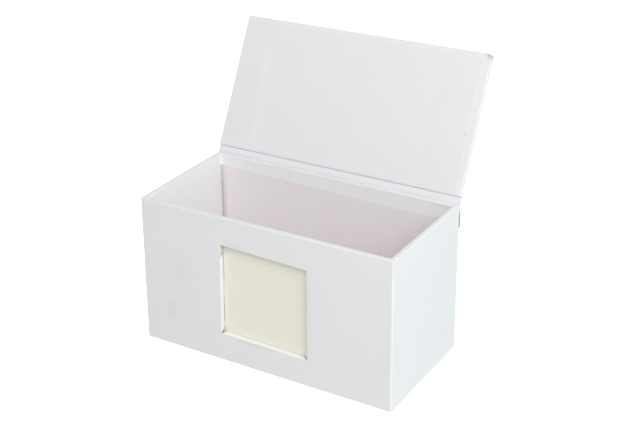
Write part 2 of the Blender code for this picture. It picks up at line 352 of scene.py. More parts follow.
def pasted_sheet(name, low, high, thin_axis, facing, material, seed):
    """A flat sheet between two corners, facing along one axis, uneven where its paste has dried."""
    spans = [axis for axis in range(3) if axis != thin_axis]
    counts = [max(4, round((high[axis] - low[axis]) / LINING_CELL)) for axis in spans]
    bm = bmesh.new()
    bmesh.ops.create_grid(bm, x_segments=counts[0], y_segments=counts[1], size=0.5)
    bmesh.ops.transform(bm, matrix=STAND[thin_axis].to_4x4(), verts=bm.verts)
    bmesh.ops.scale(bm, vec=[max(high[axis] - low[axis], 1e-6) for axis in range(3)], verts=bm.verts)
    bmesh.ops.translate(bm, vec=(low + high) / 2, verts=bm.verts)
    face_level = high[thin_axis] + LINING_LIFT if facing > 0 else low[thin_axis] - LINING_LIFT
    for vert in bm.verts:
        vert.co[thin_axis] = face_level + ripple(vert.co, BUBBLE_SIZE, LINING_BUBBLE, seed)
    face_towards(bm, thin_axis, facing)
    return thicken(write_mesh(name, bm, material), LINING_PAPER)


# The left end's sheet has lost its pink to the light
FADED_COLOUR = (0.856, 0.840, 0.852)
FADED_DARK = (0.836, 0.818, 0.830)
faded_lining = new_finish("faded_lining_paper", FADED_COLOUR, FADED_DARK, 0.011, 0.0006, 0.00004, 0.68)
add_flecks(faded_lining, 0.012, 0.0004, 0.10, (0.46, 0.38, 0.37), 0.45)
add_mark(faded_lining, (-0.0969, 0.0349, 0.0765), (0.002, 0.0005, 0.0005), (0.30, 0.26, 0.26), 0.7, 0.4)
lining_paper = new_finish("lining_paper", LINING_COLOUR, LINING_DARK, 0.011, 0.0006, 0.00004, 0.68)
add_flecks(lining_paper, 0.007, 0.0004, 0.12, (0.48, 0.37, 0.36), 0.45)
add_flecks(lining_paper, 0.021, 0.0006, 0.16, (0.30, 0.23, 0.22), 0.55)
# A faint ring of paste; and painted shade down the corner where the end's sheet laps this one, dark close in and paler
# further out
ring_at_back = (-0.0376, 0.0468, 0.0996)
add_mark(lining_paper, ring_at_back, (0.0017, 0.004, 0.0015), (0.60, 0.50, 0.46), 0.45, 0.4)
add_mark(lining_paper, ring_at_back, (0.0008, 0.004, 0.0007), LINING_COLOUR, 0.8, 0.3)
shaded_back_corner = (-0.0972, 0.0468, 0.050)
add_mark(lining_paper, shaded_back_corner, (0.0032, 0.003, 0.085), (0.32, 0.24, 0.23), 0.9, 0.3)
add_mark(lining_paper, shaded_back_corner, (0.0075, 0.003, 0.095), (0.64, 0.54, 0.55), 0.6, 0.5)
# Each sheet: the axis it is thin along, the way it faces along it, and its own unevenness
linings = (
    ("floor_lining", 2, 1, 1.0),
    ("back_lining", 1, -1, 3.0),
    ("left_lining", 0, 1, 4.0),
    ("right_lining", 0, -1, 5.0),
)
for name, thin_axis, facing, seed in linings:
    low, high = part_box(name)
    if thin_axis != 2:
        # An upright sheet runs on under its neighbours at the corners
        low[1 - thin_axis] -= LINING_REACH
        high[1 - thin_axis] += LINING_REACH
    finish = faded_lining if name == "left_lining" else lining_paper
    sheet = pasted_sheet(name + "_sheet", low, high, thin_axis, facing, finish, seed)
    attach(sheet, "box")
    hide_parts(name)

# FRONT LINING
# The same paper inside the front wall, with the window cut through it and the board together.

low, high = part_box("front_lining")
bm = bmesh.new()
bmesh.ops.create_grid(bm, x_segments=48, y_segments=27, size=0.5)
bmesh.ops.transform(bm, matrix=STAND[1].to_4x4(), verts=bm.verts)
bmesh.ops.scale(bm, vec=(high.x - low.x, 1, high.z - low.z), verts=bm.verts)
bmesh.ops.translate(bm, vec=((low.x + high.x) / 2, high.y, (low.z + high.z) / 2), verts=bm.verts)
cut_outline(bm, cut_corners)
inside_window = [face for face in bm.faces if is_within(face.calc_center_median(), cut_corners)]
bmesh.ops.delete(bm, geom=inside_window, context="FACES")
for vert in bm.verts:
    vert.co.y = high.y + LINING_LIFT + ripple(vert.co, BUBBLE_SIZE, LINING_BUBBLE, 2.0)
face_towards(bm, 1, 1)
front_lining = thicken(write_mesh("front_lining_sheet", bm, lining_paper), LINING_PAPER)
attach(front_lining, "box")
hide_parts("front_lining")

# COVERING PAPER OF THE FRONT AND ENDS
# One sheet of smooth white paper, pasted round the front and both ends with a flap round each back corner. It is
# turned in over the rim and under the base by hand, so its inside edge wanders, and it is slit and turned through
# the window. The flap at the window's top left has torn away.

COVER_COLOUR = (0.866, 0.864, 0.872)
COVER_DARK = (0.846, 0.844, 0.850)
COVER_PAPER = 0.0002
RIM_WIDTH = 0.0037
RIM_TURN_IN = 0.011
BASE_TURN_UNDER = 0.015
BACK_FLAP = 0.025
OUTER_CORNER = 0.0010
INNER_CORNER = 0.0018
FOLD = 0.00036
SEAM_GAP = 0.00002
PROUD_EDGE = 0.0016
HOLD = 0.0004

cover_low, cover_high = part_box("wrap_front_and_sides")
half_x, half_y, rim_top, under = cover_high.x, cover_high.y, cover_high.z, cover_low.z
foot = 0.00004
back_begins = half_y - BASE_TURN_UNDER - 0.001
# How far down the turned-in edge reaches, at places along each wall
TURN_IN_REACH = {
    "back": (
        (-0.1, 0.0088), (-0.074, 0.0093), (-0.060, 0.0098), (-0.039, 0.0103), (0.049, 0.0126), (0.074, 0.0127),
        (0.076, 0.0124), (0.085, 0.0114), (0.1, 0.0112),
    ),
    "front": ((-0.1, 0.0104), (-0.04, 0.0112), (0.03, 0.0107), (0.1, 0.0115)),
    "left": ((-0.05, 0.0102), (-0.027, 0.0098), (0.041, 0.0086), (0.05, 0.0088)),
    "right": ((-0.05, 0.0113), (0.0, 0.0105), (0.05, 0.0112)),
}


def share_between(value, start, end):
    """How far a value has come from one end to the other, from 0 to 1."""
    return min(1.0, max(0.0, (value - start) / (end - start)))


def faces_where(bm, test):
    return [face for face in bm.faces if test(face.calc_center_median(), face.normal)]


def geometry_of(faces):
    """The faces with all their edges and verts, each once and in order."""
    return list(dict.fromkeys(item for face in faces for item in (face, *face.edges, *face.verts)))


def extrude_edges(bm, edges):
    """Extrudes open edges in place: the new verts, and the new open edges between them."""
    made = bmesh.ops.extrude_edge_only(bm, edges=edges)["geom"]
    verts = {item for item in made if isinstance(item, bmesh.types.BMVert)}
    far_edges = [item for item in made if isinstance(item, bmesh.types.BMEdge) and set(item.verts) <= verts]
    return verts, far_edges


def round_edges(bm, geometry, size, segments, affect="EDGES"):
    bmesh.ops.bevel(
        bm, geom=geometry, offset=size, offset_type="OFFSET", segments=segments, profile=0.5, affect=affect, material=-1
    )


def draw_in(verts, inset, rounding):
    """Moves the rounded corners of a ring inwards by an inset, on to corners of another rounding."""
    for vert in verts:
        side_x, side_y = math.copysign(1, vert.co.x), math.copysign(1, vert.co.y)
        angle = math.atan2(abs(vert.co.y) - (half_y - OUTER_CORNER), abs(vert.co.x) - (half_x - OUTER_CORNER))
        vert.co.x = side_x * (half_x - inset - rounding + rounding * math.cos(angle))
        vert.co.y = side_y * (half_y - inset - rounding + rounding * math.sin(angle))


def ring_at(bm, level):
    return [edge for edge in bm.edges if all(abs(vert.co.z - level) < 1e-6 for vert in edge.verts)]


def steps(start, end, size):
    """Even places between two ends, about a size apart, without the ends."""
    count = max(1, round((end - start) / size))
    return [start + (end - start) * i / count for i in range(1, count)]


def turn_in_depth(x, y):
    """How far the turned-in edge reaches down inside, as it was cut: it wanders from wall to wall."""
    if abs(abs(y) - (half_y - RIM_WIDTH)) < 0.0008:
        wall, along = ("back" if y > 0 else "front"), x
    else:
        wall, along = ("right" if x > 0 else "left"), y
    table = TURN_IN_REACH[wall]
    for (start, first), (end, last) in zip(table, table[1:]):
        if along <= end:
            return first + (last - first) * share_between(along, start, end)
    return table[-1][1]


def cover_shell():
    """The covering paper all the way round, folded over the rim and under the base, before any seam is cut."""
    bm = new_block(Vector((-half_x, -half_y, foot)), Vector((half_x, half_y, rim_top)))
    ends = [face for face in bm.faces if abs(face.normal.z) > 0.5]
    bmesh.ops.delete(bm, geom=ends, context="FACES_ONLY")
    round_edges(bm, [edge for edge in bm.edges if abs(edge.verts[0].co.z - edge.verts[1].co.z) > 0.05], OUTER_CORNER, 4)
    top_ring, bottom_ring = ring_at(bm, rim_top), ring_at(bm, foot)
    rim_verts, rim_ring = extrude_edges(bm, top_ring)
    draw_in(rim_verts, RIM_WIDTH, INNER_CORNER)
    skirt_verts, _ = extrude_edges(bm, rim_ring)
    bmesh.ops.translate(bm, vec=(0, 0, -RIM_TURN_IN), verts=list(skirt_verts))
    # The fold under the walls stands a little proud of the sheet that is pasted between
    near_verts, near_ring = extrude_edges(bm, bottom_ring)
    draw_in(near_verts, PROUD_EDGE, OUTER_CORNER)
    under_verts, _ = extrude_edges(bm, near_ring)
    draw_in(under_verts, BASE_TURN_UNDER, INNER_CORNER)
    bmesh.ops.translate(bm, vec=(0, 0, under - foot), verts=[*near_verts, *under_verts])
    round_edges(bm, [*top_ring, *rim_ring, *bottom_ring], FOLD, 3)
    # Cuts close beside each fold hold it tight when the walls are warped
    inner_x, inner_y = half_x - RIM_WIDTH - INNER_CORNER, half_y - RIM_WIDTH - INNER_CORNER
    flat_x = half_x - OUTER_CORNER - HOLD
    flat_y = half_y - OUTER_CORNER - HOLD
    cut_across(bm, [*steps(-inner_x, inner_x, 0.005), -inner_x + HOLD, inner_x - HOLD, -flat_x, flat_x], (1, 0, 0))
    cut_across(bm, [*steps(-inner_y, inner_y, 0.005), -inner_y + HOLD, inner_y - HOLD, -flat_y, flat_y], (0, 1, 0))
    skirt_end = rim_top - RIM_TURN_IN
    heights = [*steps(foot + FOLD, skirt_end, 0.005), foot + FOLD + HOLD, *steps(skirt_end, rim_top - FOLD, 0.0025)]
    cut_across(bm, [*heights, rim_top - FOLD - HOLD, skirt_end], (0, 0, 1))
    return bm


def is_skirt(vert):
    """Whether a vert is on the paper that is turned in down the inside of the walls."""
    within = abs(vert.co.x) < half_x - RIM_WIDTH + FOLD and abs(vert.co.y) < half_y - RIM_WIDTH + FOLD
    return within and rim_top - RIM_TURN_IN - 0.001 < vert.co.z < rim_top - FOLD / 2


def settle(bm):
    """Lets the pasted paper be uneven: warped walls, a rim that is not quite level, a wandering turned-in edge."""
    seed = 11.0
    bm.normal_update()
    moves = {}
    for vert in bm.verts:
        depth = ripple(vert.co, 0.050, 0.00010, seed) + ripple(vert.co, 0.012, 0.00003, seed + 3)
        moves[vert] = vert.normal * (0.3 * depth if is_skirt(vert) or vert.co.z < 0.001 else depth)
    for vert, move in moves.items():
        if is_skirt(vert):
            down = (rim_top - vert.co.z) / RIM_TURN_IN
            reach = turn_in_depth(vert.co.x, vert.co.y) + ripple(vert.co, 0.008, 0.0003, seed)
            vert.co.z = rim_top - down * reach
            # Below the rim the paper is pressed on to the lining
            vert.co -= vert.normal * 0.00012 * min(1.0, down * 2.5)
        # At the right-hand end the paper is bunched, and stands in over the wall
        if abs(vert.co.y - (half_y - RIM_WIDTH)) < 0.0008 and vert.co.z > rim_top - 0.0012:
            vert.co.y -= 0.0004 * share_between(vert.co.x, 0.081, 0.084) * share_between(vert.co.x, 0.0955, 0.0945)
        vert.co += move


def cover_seams():
    """The two seams up the back wall, each a place on it and a direction away from the middle, slightly askew."""
    return (
        (Vector((-half_x + BACK_FLAP + 0.0001, 0, 0.02)), Vector((-1, 0, 0.012))),
        (Vector((half_x - BACK_FLAP - 0.0001, 0, 0.02)), Vector((1, 0, 0.006))),
    )


bm = cover_shell()
# The back wall between the flaps is another sheet
for place, direction in cover_seams():
    around = geometry_of(faces_where(bm, lambda middle, normal: middle.y > back_begins))
    bmesh.ops.bisect_plane(bm, geom=around, dist=1e-6, plane_co=place, plane_no=direction)
between = faces_where(
    bm,
    lambda middle, normal: middle.y > back_begins
    and all((middle - place).dot(direction) < 0 for place, direction in cover_seams()),
)
bmesh.ops.delete(bm, geom=between, context="FACES")

# Slits in the turned-in edge where the sheet was nicked to go round the inside corners
SLIT = 0.00045
skirt_slits = ((-1, 0.0413), (1, -0.0425), (-1, -0.0430), (1, 0.0420))
for side, along in skirt_slits:
    for edge_place in (along - SLIT, along + SLIT):
        skirt = faces_where(
            bm,
            lambda middle, normal: -0.001 < middle.x * side - (half_x - RIM_WIDTH) < 0.0002
            and abs(middle.y - along) < 0.006
            and middle.z > rim_top - RIM_TURN_IN - 0.001,
        )
        cut_across(bm, [edge_place], (0, 1, 0), lambda: geometry_of(skirt))
    slit = faces_where(
        bm,
        lambda middle, normal: abs(middle.x * side - (half_x - RIM_WIDTH)) < 0.0002
        and abs(middle.y - along) < SLIT
        and rim_top - RIM_TURN_IN - 0.001 < middle.z < rim_top - 0.0012,
    )
    bmesh.ops.delete(bm, geom=slit, context="FACES")

# The window: the paper is cut crosswise, and a strip of it is folded through on each side
FRONT_FOLD = 0.0003
REVEAL_DEPTH = 0.0036
WINDOW_FLAP = 0.006
TEAR_LENGTH = 0.0087
CREASE_HEIGHT = 0.0192
fold_corners = outline_set_back(FRONT_FOLD)


def is_front(middle, normal):
    return normal.y < -0.99 and middle.y < -half_y + 0.0002


def front_wall():
    return geometry_of(faces_where(bm, is_front))


bm.normal_update()
# Finer cuts where the paper will be torn and creased
cut_across(bm, [WINDOW_TOP_LEFT.z - 0.0007 * i for i in range(1, 17)], (0, 0, 1), front_wall)
cut_across(bm, [CREASE_HEIGHT - 0.0017, CREASE_HEIGHT - 0.0004, CREASE_HEIGHT + 0.0004], (0, 0, 1), front_wall)
cut_outline(bm, fold_corners, front_wall)
opened = faces_where(bm, lambda middle, normal: is_front(middle, normal) and is_within(middle, fold_corners))
bmesh.ops.delete(bm, geom=opened, context="FACES")
# How far each reveal's deep edge stops short of its two ends, going clockwise from the top
mitres = ((0.0006, 0.0006), (0.0006, 0.0012), (0.0012, 0.0004), (0.0008, 0.0010))
for i, corner in enumerate(fold_corners):
    end = fold_corners[(i + 1) % len(fold_corners)]
    inward = inward_of(corner, end)
    run = (end - corner).normalized()
    length = (end - corner).length
    edges = [
        edge
        for edge in bm.edges
        if edge.is_boundary
        and all(
            abs((vert.co - corner).dot(inward)) < 2e-6
            and vert.co.y < -half_y + 0.0002
            and -1e-5 < (vert.co - corner).dot(run) < length + 1e-5
            for vert in edge.verts
        )
    ]
    first_gap, last_gap = mitres[i]
    # Each step: how far into the window, how deep, and its share of the gap at the corners
    profile = [(FRONT_FOLD * math.sin(a), FRONT_FOLD * (1 - math.cos(a)), 0.0) for a in (0.52, 1.05, 1.57)]
    straight = REVEAL_DEPTH - FRONT_FOLD
    profile += [(FRONT_FOLD, FRONT_FOLD + straight * share, share) for share in (0.25, 0.5, 0.75, 1.0)]
    profile += [(FRONT_FOLD - WINDOW_FLAP, REVEAL_DEPTH, 2.5)]
    for inset, depth, gap_share in profile:
        verts, edges = extrude_edges(bm, edges)
        for vert in verts:
            share = (vert.co - corner).dot(run) / length
            at_start = max(inset, 0) + first_gap * gap_share
            at_end = max(inset, 0) + last_gap * gap_share
            flat = corner + run * (at_start + (length - at_start - at_end) * share) + inward * inset
            vert.co = Vector((flat.x, -half_y + depth, flat.z))
# The reveal's paper on the left has torn off below the top corner, leaving a ragged edge
tear_end = WINDOW_TOP_LEFT.z - TEAR_LENGTH


def is_torn(middle, normal):
    depth, sideways = middle.y + half_y, middle.x - WINDOW_TOP_LEFT.x
    on_reveal = abs(sideways) < 0.0012 and 0.0004 < depth < REVEAL_DEPTH + 0.0002
    on_flap = -0.0118 < sideways < 0 and REVEAL_DEPTH - 0.0001 < depth < REVEAL_DEPTH + 0.0002
    ragged = 0.0017 * noise.noise(Vector((0, middle.y * 820, middle.z * 700)))
    return (on_reveal or on_flap) and tear_end + ragged < middle.z < WINDOW_TOP_LEFT.z + 0.0005


bmesh.ops.delete(bm, geom=faces_where(bm, is_torn), context="FACES")
for vert in bm.verts:
    near = abs(vert.co.x - WINDOW_TOP_LEFT.x) < 0.0012 and vert.co.y < -half_y + 0.005
    if near and vert.is_boundary and vert.co.z > tear_end - 0.002:
        vert.co += Vector((0.0, 0.0004, 0.0004)) * noise.noise(vert.co * 3000)

settle(bm)
# A crease under the window where the paper was pulled round the board's edge
for vert in bm.verts:
    if vert.co.y < -half_y + 0.001 and vert.co.z < 0.0208 and not is_skirt(vert):
        off_line = (vert.co.z - CREASE_HEIGHT) / 0.0011
        along = share_between(vert.co.x, -0.028, -0.022) * share_between(vert.co.x, 0.019, 0.011)
        vert.co.y += 0.00028 * math.exp(-off_line * off_line) * along


def paint_rim_light_and_shade(material):
    """Painted light and shade: the turned-in paper behind the back rim is painted paler, and the top of the rim by the
    hinge is painted darker.
    """
    add_mark(material, (0, half_y - RIM_WIDTH, 0.105), (0.25, 0.0016, 0.013), (0.922, 0.922, 0.932), 1.0, 0.0)
    add_mark(material, (0, half_y - 0.0016, rim_top), (0.25, 0.0030, 0.0011), (0.80, 0.80, 0.805), 0.8, 0.2)


white_cover = new_finish("white_cover_paper", COVER_COLOUR, COVER_DARK, 0.010, 0.0005, 0.00003, 0.56)
add_flecks(white_cover, 0.016, 0.0003, 0.10, (0.50, 0.48, 0.46), 0.5)
# Painted light on the back turn-in and painted shade on the rim by the hinge
paint_rim_light_and_shade(white_cover)
# A speck on the right end, two greyish smudges on the front, and the crease's shade
add_mark(white_cover, (half_x, -0.0402, 0.0275), (0.002, 0.0005, 0.0005), (0.45, 0.43, 0.40), 0.6, 0.4)
add_mark(white_cover, (-0.0774, -half_y, 0.028), (0.006, 0.004, 0.010), (0.76, 0.75, 0.74), 0.45, 0.9)
add_mark(white_cover, (-0.066, -half_y, 0.060), (0.011, 0.004, 0.026), (0.80, 0.796, 0.79), 0.35, 0.9)
add_mark(white_cover, (-0.006, -half_y, 0.0186), (0.024, 0.004, 0.0014), (0.68, 0.67, 0.66), 0.30, 0.4)
cover = thicken(write_mesh("cover_front_and_ends", bm, white_cover), COVER_PAPER)
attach(cover, "box")
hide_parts("wrap_front_and_sides")

# COVERING PAPER OF THE BACK
# A second sheet of the same paper between the flaps, from another part of the roll and a touch greyer. It is
# turned in and under like the first, and butts against the flaps at two seams.

bm = cover_shell()
for place, direction in cover_seams():
    seam = place - direction.normalized() * SEAM_GAP
    bmesh.ops.bisect_plane(
        bm, geom=[*bm.verts, *bm.edges, *bm.faces], dist=1e-6, plane_co=seam, plane_no=direction, clear_outer=True
    )
bmesh.ops.delete(bm, geom=faces_where(bm, lambda middle, normal: middle.y < back_begins), context="FACES")
settle(bm)
back_cover_paper = new_finish(
    "back_cover_paper", (0.846, 0.848, 0.862), (0.824, 0.826, 0.838), 0.010, 0.0005, 0.00003, 0.56
)
# Painted light on the back turn-in and painted shade on the rim by the hinge
paint_rim_light_and_shade(back_cover_paper)
back_cover = thicken(write_mesh("cover_back", bm, back_cover_paper), COVER_PAPER)
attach(back_cover, "box")
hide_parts("wrap_back")

# BASE SHEET
# A plain sheet pasted on the underside over the turned-under edges, scuffed from sliding on tables.

base_paper = new_finish("base_paper", (0.84, 0.84, 0.85), (0.77, 0.765, 0.76), 0.009, 0.0005, 0.00004, 0.6)
add_flecks(base_paper, 0.004, 0.0004, 0.25, (0.35, 0.33, 0.31), 0.5)
frame["nodes"]["base_sheet"].data.materials[0] = base_paper

# WINDOW CARD
# A rectangle of cream card, stuck behind the window over the turned-through paper. Its face has a soft tooth and a
# few specks.

cream_card = new_finish("cream_card", (0.900, 0.886, 0.768), (0.878, 0.862, 0.738), 0.013, 0.0008, 0.00006, 0.7)
add_flecks(cream_card, 0.009, 0.0003, 0.10, (0.60, 0.56, 0.44), 0.5)
add_mark(cream_card, (0.0260, -0.046, 0.0551), (0.0005, 0.002, 0.0005), (0.42, 0.38, 0.30), 0.6, 0.4)
# Painted shade: a dark line along the card's left edge, in the gap against the reveal, which leans slightly
for x, z in ((-0.0334, 0.074), (-0.0340, 0.039)):
    add_mark(cream_card, (x, -0.046, z), (0.0005, 0.002, 0.022), (0.40, 0.38, 0.29), 0.75, 0.2)
frame["nodes"]["window_card"].data.materials[0] = cream_card

# LID BOARD
# The lid's own greyboard panel. One front corner has been knocked, so it is blunted and its grey felt shows.
# Lid pieces are shaped flat: across, up from the hinge edge, and out of the inside face; then they are stood open.

LID_THICKNESS = 0.0037
LID_LENGTH = 0.1014
LID_ASKEW = -0.0011
joint = frame["joints"][0]
hinge_axis = Vector(joint["pos_m"])
closed_turn = math.radians(joint["range_deg"][0])
LID_BACK_OF_AXIS = 0.00235
LID_BELOW_AXIS = 0.00185
lid_stand = (
    Matrix.Translation(hinge_axis)
    @ Matrix.Rotation(closed_turn + math.pi, 4, "X")
    @ Matrix.Translation((LID_ASKEW, LID_BACK_OF_AXIS, LID_BELOW_AXIS))
)

board_half = half_x - 0.0005
board_near, board_far = 0.0003, LID_LENGTH - 0.0005
board_inner, board_outer = -0.00095, -0.0032
BLUNT_START = Vector((0.0950, board_far, 0))
BLUNT_END = Vector((board_half, 0.1001, 0))
bm = new_block(Vector((-board_half, board_near, board_outer)), Vector((board_half, board_far, board_inner)))
blunt_run = (BLUNT_END - BLUNT_START).normalized()
past_blunt = (-blunt_run.y, blunt_run.x, 0)
whole = [*bm.verts, *bm.edges, *bm.faces]
bmesh.ops.bisect_plane(bm, geom=whole, dist=1e-6, plane_co=BLUNT_START, plane_no=past_blunt, clear_outer=True)
bmesh.ops.holes_fill(bm, edges=[edge for edge in bm.edges if edge.is_boundary], sides=0)
bmesh.ops.recalc_face_normals(bm, faces=bm.faces)
cut_across(bm, [0.0935 + 0.0007 * i for i in range(9)], (1, 0, 0))
cut_across(bm, [0.0975 + 0.0006 * i for i in range(7)], (0, 1, 0))
cut_across(bm, [board_outer + 0.00045 * i for i in range(1, 5)], (0, 0, 1))
bm.normal_update()
# The knock has crushed the corner, most at its point
for vert in bm.verts:
    knocked = max(0.0, 1 - (vert.co - Vector((board_half, board_far, vert.co.z))).length / 0.0065)
    vert.co += vert.normal * knocked * (0.0005 * noise.noise(vert.co * 1500) - 0.0003)
bmesh.ops.transform(bm, matrix=lid_stand, verts=bm.verts)
lid_board = write_mesh("lid_board_knocked", bm, greyboard)
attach(lid_board, "lid")
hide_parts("lid_board")

# LID COVER
# White paper pasted over the lid's outside and turned in on three edges, with the two front corners mitred. At the
# knocked corner it has worn through.

LID_TURN_IN_FACE = -0.00045
LID_SIDE_FOLD = 0.0005

bm = new_block(Vector((-half_x, 0, -LID_THICKNESS)), Vector((half_x, LID_LENGTH, LID_TURN_IN_FACE)))
bmesh.ops.delete(bm, geom=faces_where(bm, lambda middle, normal: normal.y < -0.5), context="FACES_ONLY")
corner_edges = [
    edge
    for edge in bm.edges
    if abs(edge.verts[0].co.z - edge.verts[1].co.z) > 0.001 and edge.verts[0].co.y > LID_LENGTH / 2
]
round_edges(bm, corner_edges, 0.0008, 4)
bm.normal_update()
fold_edges = [
    edge
    for edge in bm.edges
    if len(edge.link_faces) == 2 and edge.link_faces[0].normal.angle(edge.link_faces[1].normal) > 1.4
]
round_edges(bm, fold_edges, LID_SIDE_FOLD, 3)
cut_across(bm, [*steps(-0.0985, 0.0985, 0.005), -0.0985, 0.0985], (1, 0, 0))
cut_across(bm, [*steps(0, 0.1005, 0.005), 0.1005], (0, 1, 0))
bm.normal_update()
# The turned-in flaps stop at these lines, and the board is bare between them
FLAP_END = (
    (-0.0749, -0.001), (-0.0759, 0.0248), (-0.0774, 0.0457), (-0.0798, 0.0858), (0.0821, 0.0852),
    (0.0766, 0.0764), (0.0754, 0.0644), (0.0759, 0.0397), (0.0771, 0.0176), (0.0775, -0.001),
)
for start, end in zip(FLAP_END, FLAP_END[1:]):
    run = Vector((end[0] - start[0], end[1] - start[1], 0)).normalized()
    inner = faces_where(bm, lambda middle, normal: normal.z > 0.9)
    square = (run.y, -run.x, 0)
    bmesh.ops.bisect_plane(bm, geom=geometry_of(inner), dist=1e-6, plane_co=(*start, 0), plane_no=square)


def is_bare(place):
    """Whether a place on the lid is inside the line where the flaps end."""
    crossings = 0
    for near, far in zip(FLAP_END, (*FLAP_END[1:], FLAP_END[0])):
        if (near[1] > place.y) != (far[1] > place.y):
            crossings += near[0] + (place.y - near[1]) * (far[0] - near[0]) / (far[1] - near[1]) > place.x
    return crossings % 2 == 1


bare = faces_where(bm, lambda middle, normal: normal.z > 0.9 and is_bare(middle))
bmesh.ops.delete(bm, geom=bare, context="FACES")


def is_near_corner(middle, normal=None):
    return middle.x > 0.0905 and middle.y > 0.0925


def knocked_corner():
    return geometry_of(faces_where(bm, is_near_corner))


def is_worn(middle, normal):
    """Whether the paper has gone here: outside a slanting, ragged line across the corner."""
    past = (middle.x - 0.0948) / 0.0052 + (middle.y - 0.0998) / 0.0024 + 0.30 * noise.noise(middle * 1100)
    return is_near_corner(middle) and past > 1.02


cut_across(bm, [0.0930 + 0.0006 * i for i in range(12)], (1, 0, 0), knocked_corner)
cut_across(bm, [0.0968 + 0.0006 * i for i in range(9)], (0, 1, 0), knocked_corner)
bmesh.ops.delete(bm, geom=faces_where(bm, is_worn), context="FACES")
bm.normal_update()
for vert in bm.verts:
    if vert.co.z < LID_TURN_IN_FACE - LID_SIDE_FOLD:
        vert.co += vert.normal * (ripple(vert.co, 0.055, 0.00009, 21.0) + ripple(vert.co, 0.012, 0.00002, 5.0))
    if vert.is_boundary and is_near_corner(vert.co):
        vert.co += Vector((0.0003, 0.0003, 0.0002)) * noise.noise(vert.co * 2500)
bmesh.ops.transform(bm, matrix=lid_stand, verts=bm.verts)

corner_at = lid_stand @ Vector((0.1, LID_LENGTH, -0.0015))
lid_paper = new_finish("lid_cover_paper", (0.822, 0.822, 0.832), (0.804, 0.803, 0.812), 0.010, 0.0005, 0.00003, 0.55)
add_flecks(lid_paper, 0.017, 0.0004, 0.10, (0.42, 0.40, 0.38), 0.6)
hinge_end = lid_stand @ Vector((0, 0, LID_TURN_IN_FACE))
# Painted shade: a dark line along the lid cover's edge at the hinge
add_mark(lid_paper, hinge_end, (0.25, 0.0007, 0.0007), (0.50, 0.49, 0.50), 0.7, 0.2)
add_mark(lid_paper, corner_at, (0.006, 0.005, 0.006), (0.46, 0.43, 0.39), 0.7, 0.8)
lid_cover = thicken(write_mesh("lid_cover_paper", bm, lid_paper), COVER_PAPER)
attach(lid_cover, "lid")
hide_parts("lid_cover")

# LID LINER
# A sheet pasted over the inside of the lid, a few millimetres short of its edges and cut by eye. It drops from the
# turned-in flaps on to the board between them, so their edges and their mitres show through it as soft ridges.

LINER_CORNERS = ((-0.0970, 0.0983), (0.0935, 0.0973), (0.0956, 0.0003), (-0.0969, 0.0002))
LINER_OVER_FLAP = -0.00034
LINER_ON_BOARD = -0.00060
LINER_PAPER = 0.00010
# The mitres where two flaps lap: both ends of each, and how far it stands up or sinks
MITRES = (((-0.0955, 0.0972), (-0.0798, 0.0858), -0.00014), ((0.0935, 0.0960), (0.0821, 0.0852), 0.00002))


def off_segment(x, y, start, end):
    """Distance of a place from a segment."""
    run_x, run_y = end[0] - start[0], end[1] - start[1]
    share = share_between((x - start[0]) * run_x + (y - start[1]) * run_y, 0.0, run_x * run_x + run_y * run_y)
    return math.hypot(x - start[0] - share * run_x, y - start[1] - share * run_y)


def liner_height(x, y):
    """How high the liner lies: over the flaps, down on the board, and ridged where edges lie under it."""
    nearest, sharpness = 1.0, 1.0
    for start, end in zip(FLAP_END, FLAP_END[1:]):
        gap = off_segment(x, y, start, end)
        if gap < nearest:
            nearest = gap
            # The front flap's edge was rubbed down well, and hardly shows
            sharpness = 0.0060 if start[0] < 0 < end[0] else 0.0032 if start[0] < 0 else 0.0055
    if not is_bare(Vector((x, y, 0))):
        nearest = -nearest
    inwards = share_between(nearest, 0.0, 2 * sharpness)
    drop = inwards * inwards * (3 - 2 * inwards)
    height = LINER_OVER_FLAP + (LINER_ON_BOARD - LINER_OVER_FLAP) * drop
    if sharpness < 0.004:
        height += 0.00002 * math.exp(-((nearest + 0.0008) / 0.0016) ** 2)
    # Along the hinge it lies over the held end of the strip
    near_hinge = share_between(y, 0.0065, 0.0035)
    height += (LINER_OVER_FLAP - height) * near_hinge * near_hinge * (3 - 2 * near_hinge)
    for start, end, rise in MITRES:
        height += rise * math.exp(-(off_segment(x, y, start, end) / 0.0006) ** 2)
    return height


bm = bmesh.new()
bmesh.ops.create_grid(bm, x_segments=192, y_segments=98, size=0.5)
top_left, top_right, bottom_right, bottom_left = (Vector((*corner, 0)) for corner in LINER_CORNERS)
for vert in bm.verts:
    across, up = vert.co.x + 0.5, vert.co.y + 0.5
    low_place = bottom_left.lerp(bottom_right, across)
    high_place = top_left.lerp(top_right, across)
    vert.co = low_place.lerp(high_place, up)
    if min(across, 1 - across, up, 1 - up) < 1e-6:
        vert.co.x += ripple(vert.co, 0.014, 0.00020, 8.0)
        vert.co.y += ripple(vert.co, 0.014, 0.00020, 9.0)
for vert in bm.verts:
    vert.co.z = liner_height(vert.co.x, vert.co.y) + ripple(vert.co, 0.020, 0.00007, 6.0)
face_towards(bm, 2, 1)
bmesh.ops.transform(bm, matrix=lid_stand, verts=bm.verts)
liner_paper = new_finish("liner_paper", (0.808, 0.808, 0.820), (0.792, 0.792, 0.802), 0.009, 0.0005, 0.00003, 0.58)
add_flecks(liner_paper, 0.013, 0.0004, 0.08, (0.52, 0.50, 0.47), 0.45)
for x, y, size in ((-0.082, 0.079, 0.0007), (0.040, 0.022, 0.0006), (0.0936, 0.043, 0.0009), (-0.0965, 0.052, 0.0008)):
    add_mark(liner_paper, lid_stand @ Vector((x, y, 0)), (size, size, size), (0.38, 0.35, 0.30), 0.6, 0.5)
liner = thicken(write_mesh("lid_liner_sheet", bm, liner_paper), LINER_PAPER)
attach(liner, "lid")
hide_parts("lid_liner")

# HINGE
# The lid's covering paper runs on past its board, bends round the joint and is glued down the back wall as a flap.
# A second strip inside joins the lid's edge to the rim. It has been creased over and over by opening the box.

